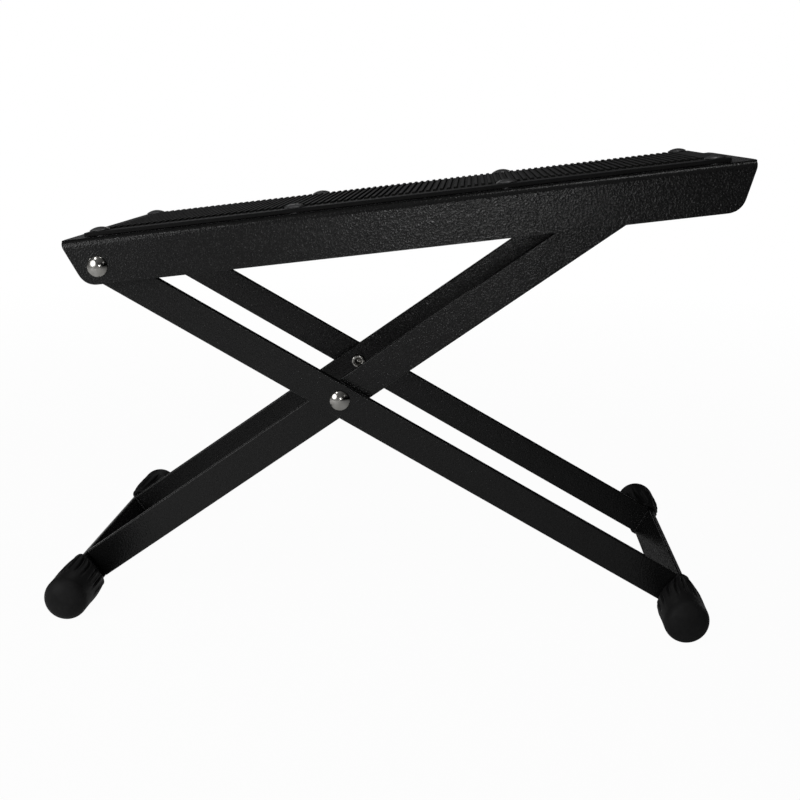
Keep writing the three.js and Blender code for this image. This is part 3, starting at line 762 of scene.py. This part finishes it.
def make_mat():
    """The mat's slab, and the ribs on it, which stop short of the rivets' heads."""
    underside = HINGE_DROP + SEAT_GAP
    face = underside + MAT_THICKNESS
    low, high = -HINGE_INSET + MAT_INSET, TRAY_LENGTH - HINGE_INSET - MAT_INSET
    points, faces = rounded_plate(mat_outline(low, high), MAT_THICKNESS, MAT_EDGE)
    points = [(x, y, underside + w) for x, y, w in points]
    piece("mat_slab", points, faces, TRAY, "tray", BORDER_RUBBER, "rubber_mat")

    room = high - low - 2 * MAT_END_BORDER
    count = int((room - RIB_WIDTH) / RIB_PITCH) + 1
    start = (low + high - (count - 1) * RIB_PITCH) / 2
    relief = MAT_RIVET["head"] / 2 + RIB_OFF_RIVET
    rivet_row = [x for _, x, y in mat_rivet_places() if y > 0]
    places, lengths = [], []
    for i in range(count):
        x = start + i * RIB_PITCH
        rooms = [TRAY_WIDTH / 2 - MAT_RIVET_SIDE_INSET - math.sqrt(relief ** 2 - (x - rivet) ** 2)
                 for rivet in rivet_row if abs(x - rivet) < relief]
        reach = min([(MAT_WIDTH - 2 * MAT_SIDE_BORDER) / 2] + rooms)
        places.append((x * MM, 0, (face - RIB_ROOT / 2 + RIB_HEIGHT / 2) * MM))
        lengths.append(2 * reach * MM)
    base = bpy.data.meshes.new("rib_places")
    base.from_pydata(places, [], [])
    base.attributes.new("rib_length", "FLOAT", "POINT").data.foreach_set("value", lengths)
    mesh = grown_mesh("mat_ribs", *rib_tree(), base, {
        "Rib Width": RIB_WIDTH * MM, "Rib Height": (RIB_HEIGHT + RIB_ROOT) * MM,
        "Rib Rounding": RIB_ROUNDING * MM, "Material": MAT_RUBBER}, TRAY)
    dress("mat_ribs", mesh, "tray", MAT_RUBBER, sharp=40.0)


make_mat()


# Rivets, washers and rod


def hollow_tail(tail, end, hollow, depth, rise):
    """A rolled tail: from the middle of its domed hollow over the round lip to its side."""
    bottom = hollow / 2 - HOLLOW_TAPER
    shares = [i / HOLLOW_STEPS for i in range(HOLLOW_STEPS + 1)]
    dome = [(bottom * share, end + depth - rise * (1 - share ** 2)) for share in shares]
    lip = (tail / 2 - hollow / 2) / 2
    middle, drop = hollow / 2 + lip, lip * LIP_ROUNDING
    inside = [(middle - lip * math.cos(a), end + drop * (1 - math.sin(a)))
              for a in quarter(LIP_STEPS)]
    outside = [(middle + lip * math.sin(a), end + drop * (1 - math.cos(a)))
               for a in quarter(LIP_STEPS)[1:]]
    return dome + inside + outside


def flat_tail(tail, end, height):
    """A flat tail with a rounded rim."""
    rounding = height * TAIL_ROUNDING
    rim = [(tail / 2 - rounding * (1 - math.sin(a)), end + rounding * (1 - math.cos(a)))
           for a in quarter(TAIL_STEPS)]
    return [(0, end)] + rim


def rivet_profile(head, crown, shank, tail, grip, tail_height, hollow=0.0, hollow_depth=0.0,
                  hollow_rise=0.0):
    """From the tail's end to the crown of the head, whose seat is at y = 0."""
    end = -grip - tail_height
    if hollow:
        profile = hollow_tail(tail, end, hollow, hollow_depth, hollow_rise)
    else:
        profile = flat_tail(tail, end, tail_height)
    profile += [(tail / 2, -grip), (shank / 2, -grip), (shank / 2, 0)]
    profile += [(head / 2 - HEAD_RIM_IN, 0), (head / 2, HEAD_RIM_UP)]
    dome = crown - HEAD_RIM
    radius = ((head / 2) ** 2 + dome ** 2) / (2 * dome)
    widest = math.asin(min(1, head / 2 / radius))
    for i in range(1, HEAD_STEPS):
        angle = widest * (1 - i / HEAD_STEPS)
        profile.append((radius * math.sin(angle), crown - radius * (1 - math.cos(angle))))
    return profile + [(0, crown)]


def joint_rivet(name, side, sign, place, body, seat, grip, tail_height):
    """A domed rivet with its head outwards and its rolled tail inwards."""
    points, faces = turned(rivet_profile(grip=grip, tail_height=tail_height, **JOINT_RIVET))
    points = [(x, sign * (seat + y), z) for x, y, z in points]
    piece(f"{name}_{side}_turned", points, faces, place, body, NICKEL,
          f"{name}_{side}")


def washer(name, side, sign, place, body, outside, thickness):
    """A ring from its outside face inwards to the middle plane, round a rivet's shank."""
    bore, rim = JOINT_RIVET["shank"] / 2 + SEAT_GAP, WASHER_DIAMETER / 2
    inside, edge = outside - thickness, WASHER_EDGE
    section = ((bore, outside), (rim - edge, outside), (rim, outside - edge),
               (rim, inside + edge), (rim - edge, inside), (bore, inside))
    points = [point for r, y in section for point in circle(r, sign * y, TURNED_FACETS)]
    faces = ring_faces(len(section), TURNED_FACETS, closed=True)
    piece(f"{name}_{side}_turned", points, faces, place, body, DULL_STEEL,
          f"{name}_{side}")


SKIRT_FACE = TRAY_WIDTH / 2
SKIRT_INSIDE = SKIRT_FACE - TRAY_SHEET
WASHER_THICKNESS = LEG_GAP - 2 * SEAT_GAP

for side, sign in SIDES:
    joint_rivet("scissor_rivet", side, sign, OUTER, "outer_frame", OUTER_FACE + SEAT_GAP,
                OUTER_FACE - INNER_INSIDE + 2 * SEAT_GAP, SCISSOR_TAIL_HEIGHT)
    washer("scissor_washer", side, sign, OUTER, "outer_frame", OUTER_INSIDE - SEAT_GAP,
           WASHER_THICKNESS)
    joint_rivet("tray_hinge_rivet", side, sign, TRAY, "tray", SKIRT_FACE + SEAT_GAP,
                SKIRT_FACE - OUTER_INSIDE + 2 * SEAT_GAP, WASHER_THICKNESS)
    washer("tray_hinge_spacer", side, sign, TRAY, "tray", SKIRT_INSIDE - SEAT_GAP,
           SKIRT_INSIDE - OUTER_FACE - 2 * SEAT_GAP)

for name, x, y in mat_rivet_places():
    grip = 3 * SEAT_GAP + MAT_THICKNESS + TRAY_SHEET
    points, faces = turned(rivet_profile(grip=grip, **MAT_RIVET))
    seat = HINGE_DROP + MAT_THICKNESS + 2 * SEAT_GAP
    points = [(x + px, y + pz, seat + py) for px, py, pz in points]
    piece(f"mat_rivet_{name}_turned", points, faces, TRAY, "tray", RIVET_LACQUER,
          f"mat_rivet_{name}")


def make_rod():
    """The rod across the inner legs, with a thinner spigot in each leg's hole."""
    shoulder = INNER_INSIDE - SEAT_GAP
    spigot, middle = ROD_SPIGOT / 2, ROD_DIAMETER / 2
    profile = [(0, -INNER_FACE), (spigot - ROD_EDGE, -INNER_FACE),
               (spigot, -INNER_FACE + ROD_EDGE), (spigot, -shoulder),
               (middle - ROD_EDGE, -shoulder), (middle, -shoulder + ROD_EDGE)]
    profile += [(r, -y) for r, y in reversed(profile)]
    points, faces = turned(profile, ROD_FACETS)
    points = [(INNER_UPPER_REACH + x, y, z) for x, y, z in points]
    piece("height_rod_turned", points, faces, INNER, "inner_frame", DULL_STEEL,
          "height_rod")


make_rod()

for side, _ in SIDES:
    rack = frame["nodes"][f"height_rack_{side}"]
    rack.data.materials.clear()
    rack.data.materials.append(TRAY_PAINT)


# Foot caps


def boxy_oval(angle, half_x, half_z, power):
    """A point on an ellipse at power 1, or on a shape nearer to a box below it."""
    c, s = math.cos(angle), math.sin(angle)
    return (math.copysign(abs(c) ** power, c) * half_x,
            math.copysign(abs(s) ** power, s) * half_z)


def cap_pocket(angle):
    """A point of the pocket that takes the bar's end."""
    return boxy_oval(angle, STRIP_THICKNESS / 2 + CAP_POCKET_GAP,
                     STRIP_WIDTH / 2 + CAP_POCKET_GAP, CAP_POCKET_POWER)


def cap_skin(angle, y):
    """A point of a cap's skin at a place along it: flat and wide round the bar's end at the
    mouth, round from the end of its flare to its dome."""
    radius = CAP_RADIUS
    if y > CAP_CROWN_START:
        share = min(1.0, (y - CAP_CROWN_START) / CAP_CROWN_DEPTH)
        radius = CAP_RADIUS * (1 - share ** CAP_CROWN_ALONG) ** CAP_CROWN_ACROSS
    flare = math.sin(RIGHT_ANGLE * min(1.0, y / CAP_FLARE_END))
    thinned = (CAP_RIM * max(0.0, 1 - y / CAP_RIM) ** 2
               - CAP_BEAD * math.exp(-((y - CAP_BEAD_PLACE) / CAP_BEAD_REACH) ** 2))
    wall = CAP_POCKET_GAP + CAP_WALL - thinned
    mouth_x, mouth_z = boxy_oval(angle, STRIP_THICKNESS / 2 + wall, STRIP_WIDTH / 2 + wall,
                                 CAP_MOUTH_POWER)
    x = mouth_x * (1 - flare) + radius * math.cos(angle) * flare
    z = mouth_z * (1 - flare) + radius * math.sin(angle) * flare
    if FLUTE_START < y < FLUTE_END:
        along = (y - FLUTE_START) / (FLUTE_END - FLUTE_START)
        fade = math.sin(math.pi * along) ** FLUTE_FADE
        wave = math.cos(FLUTE_COUNT * angle)
        groove = (FLUTE_DEPTH * max(0.0, wave) ** FLUTE_NARROWNESS
                  - RIDGE_HEIGHT * math.exp(-((wave - RIDGE_PLACE) / RIDGE_REACH) ** 2))
        keep = 1 - fade * groove / math.hypot(x, z)
        x, z = x * keep, z * keep
    return x, z


def cap_rows():
    """The places along a cap of its skin's rows of points, closer at the mouth and dome."""
    flare, body = CAP_FLARE_END - CAP_FLARE_START, CAP_CROWN_START - CAP_FLARE_END
    rows = list(CAP_MOUTH_ROWS)
    rows += [CAP_FLARE_START + flare * i / CAP_FLARE_STEPS for i in range(CAP_FLARE_STEPS + 1)]
    rows += [CAP_FLARE_END + body * i / CAP_BODY_STEPS for i in range(1, CAP_BODY_STEPS + 1)]
    rows += [CAP_CROWN_START + CAP_CROWN_DEPTH * math.sin(turn)
             for turn in quarter(CAP_CROWN_STEPS)[1:-1]]
    return rows


def foot_cap(name, side, sign, centre, turn, body):
    """A moulded cap on one end of a foot bar, turned with it, and worn flat underneath."""
    facets = FLUTE_COUNT * FACETS_PER_FLUTE
    angles = [FULL_TURN * k / facets for k in range(facets)]
    worn = -(CAP_RADIUS - CAP_FLAT)
    c, s = math.cos(turn), math.sin(turn)
    rings = [(y, [cap_pocket(angle) for angle in angles])
             for y in (CAP_POCKET_DEPTH, CAP_POCKET_MOUTH)]
    rings += [(y, [cap_skin(angle, y) for angle in angles]) for y in cap_rows()]
    points = [(x * c + z * s, sign * y, max(worn, z * c - x * s))
              for y, ring in rings for x, z in ring]
    pocket_end, dome_end, last = len(points), len(points) + 1, len(points) - facets
    points += [(0, sign * CAP_POCKET_DEPTH, 0), (0, sign * CAP_LENGTH, 0)]
    faces = ring_faces(len(rings), facets)
    for k in range(facets):
        n = (k + 1) % facets
        faces += [(pocket_end, n, k), (last + k, last + n, dome_end)]
    place = place_at(centre) @ Matrix.Translation((0, sign * (OUTER_FACE + CAP_STAND_OFF), 0))
    piece(f"{name}_{side}_moulded", points, faces, place, body, CAP_RUBBER,
          f"{name}_{side}", sharp=70.0, weighted=False)


outer_foot = SCISSOR + Vector(
    (math.cos(OUTER_TILT), 0, -math.sin(OUTER_TILT))) * OUTER_LOWER_REACH * MM
inner_foot = SCISSOR - Vector(
    (math.cos(INNER_TILT), 0, math.sin(INNER_TILT))) * INNER_LOWER_REACH * MM
for side, sign in SIDES:
    foot_cap("outer_foot_cap", side, sign, outer_foot, OUTER_TILT, "outer_frame")
    foot_cap("inner_foot_cap", side, sign, inner_foot, -INNER_TILT, "inner_frame")


# Camera


def matched_camera():
    """The photograph's view of the footrest's long side, from a little above."""
    camera = bpy.data.cameras.new("camera")
    made = in_scene("camera", camera)
    right = Vector((0.99759, 0.06859, 0.01057))
    up = Vector((-0.02899, 0.27347, 0.96144))
    forward = Vector((-0.06305, 0.95943, -0.27480))
    place = Vector((0.030836, -0.53634, 0.204279))
    rows = [(right[i], up[i], -forward[i], place[i]) for i in range(3)]
    made.matrix_world = Matrix((*rows, (0, 0, 0, 1)))
    camera.sensor_width = 36
    camera.lens = 54
    camera.shift_x, camera.shift_y = 0.0172, 0.0734
    camera.clip_start, camera.clip_end = 0.01, 20
    bpy.context.scene.camera = made


matched_camera()
bpy.context.scene.view_settings.view_transform = "Standard"


# Studio

WHITE = (1, 1, 1, 1)
PAPER = (0.8, 0.8, 0.8, 1)
FLOOR_REACH = 4.0
# How brightly the object mirrors the floor at its left and right, and the share of it that
# it mirrors of the floor behind it
FLOOR_LEFT, FLOOR_RIGHT, FLOOR_BEHIND = 0.3, 0.03, 0.1
# Over how many metres from the middle those change from one to the other
FLOOR_CHANGE = 0.15
# The camera sees the floor a little below white near the object, and white farther off
FLOOR_NEAR, FLOOR_FAR, NEAR_WHITE = 0.3, 1.0, 0.97
# The strengths of the pale parts of the room that the object mirrors
HIGH_FRONT, LOW_FRONT, CEILING = 0.16, 0.25, 0.15
# Each round softbox: its place, where it aims, its width in metres and its power in watts
SOFTBOXES = {
    "side_left": ((-0.97, 0.02, 0.66), (-0.1, 0, 0.12), 0.25, 0.4),
    "overhead_left": ((-0.33, -0.37, 0.61), (0, 0, 0.1), 0.12, 0.28),
    "front_right": ((0.51, -0.82, 0.60), (0, 0, 0.1), 0.14, 0.06),
    "overhead_right": ((0.1, 0, 1.1), (0.1, 0, 0.18), 0.25, 0.7),
    "behind_left": ((-0.34, 1.55, 0.58), (-0.05, 0, 0.15), 0.4, 0.35),
    "near_left": ((-0.45, -0.45, 0.28), (-0.15, 0, 0.1), 0.36, 1.1),
    "front_fill": ((0.025, -0.85, 0.21), (0.03, 0, 0.17), 0.09, 0.44),
    "near_back": ((0.62, 0.40, 0.16), (0.0, 0, 0.1), 0.3, 0.3),
}


def studio_floor():
    """A pale floor that keeps the object's shadow, and is near white to the camera."""
    reach = FLOOR_REACH
    corners = ((-reach, -reach, 0), (reach, -reach, 0), (reach, reach, 0), (-reach, reach, 0))
    mesh = bpy.data.meshes.new("studio_floor")
    mesh.from_pydata(corners, [], [(0, 1, 2, 3)])
    material, look, place = new_material("studio_floor")
    path = look.node("ShaderNodeLightPath").outputs
    seen, mirrored, through = (
        Signal(look, path[f"Is {ray} Ray"]) for ray in ("Camera", "Glossy", "Transmission"))
    across, depth, _ = split(look, place)
    far = look.signal("ShaderNodeVectorMath", "Value", {"operation": "LENGTH"}, {0: place})
    shine = mirrored * span(look, across, -FLOOR_CHANGE, FLOOR_CHANGE, FLOOR_LEFT, FLOOR_RIGHT)
    shine = shine * span(look, depth, 0.0, FLOOR_CHANGE, 1.0, FLOOR_BEHIND)
    pale = seen * span(look, far, FLOOR_NEAR, FLOOR_FAR, NEAR_WHITE, 1.0)
    glowing = pale + through + shine
    paper = look.node("ShaderNodeBsdfDiffuse", {}, {"Color": PAPER})
    glow = look.node("ShaderNodeEmission", {}, {"Color": WHITE, "Strength": 1.0})
    mix = look.node("ShaderNodeMixShader", {}, {
        0: glowing, 1: paper.outputs[0], 2: glow.outputs[0]})
    look.node("ShaderNodeOutputMaterial", {}, {"Surface": mix.outputs[0]})
    mesh.materials.append(material)
    in_scene("studio_floor", mesh)


def studio_world():
    """White to the camera. What lights the object and shows in its gloss is a dim room in
    front of it: paler high up, and more so to the left, paler low down on the left, and with
    a ceiling that is paler on the left."""
    world = bpy.data.worlds.new("studio")
    bpy.context.scene.world = world
    world.use_nodes = True
    look = Nodes(world.node_tree)
    across, depth, height = split(look, look.node("ShaderNodeTexCoord").outputs["Generated"])
    # Each span's first two numbers are directions: 0 is level or straight on, 1 is full
    # right, back or up, and -1 is full left or front
    front = span(look, depth, 0.0, -0.4)
    high_front = span(look, height, 0.25, 0.5) * front * span(look, across, -0.1, 0.6, 1.0, 0.3)
    low_front = span(look, height, 0.4, 0.2) * front * span(look, across, -0.2, 0.08, 1.0, 0.0)
    ceiling = span(look, height, 0.7, 0.95) * span(look, across, 0.3, -0.5)
    room = high_front * HIGH_FRONT + low_front * LOW_FRONT + ceiling * CEILING
    shine = look.node("ShaderNodeBackground", {}, {"Color": WHITE, "Strength": room})
    white = look.node("ShaderNodeBackground", {}, {"Color": WHITE, "Strength": 1.0})
    path = look.node("ShaderNodeLightPath").outputs
    mix = look.node("ShaderNodeMixShader", {}, {
        0: path["Is Camera Ray"], 1: shine.outputs[0], 2: white.outputs[0]})
    look.node("ShaderNodeOutputWorld", {}, {"Surface": mix.outputs[0]})


def softbox(name, place, target, width, power):
    """A round lamp that lights the object and isn't seen itself."""
    light = bpy.data.lights.new(name, "AREA")
    light.shape, light.size, light.energy = "DISK", width, power
    made = in_scene(name, light)
    made.location = place
    made.rotation_euler = (Vector(target) - Vector(place)).to_track_quat("-Z", "Y").to_euler()
    made.visible_camera = False


studio_floor()
studio_world()
for name, lamp in SOFTBOXES.items():
    softbox(name, *lamp)
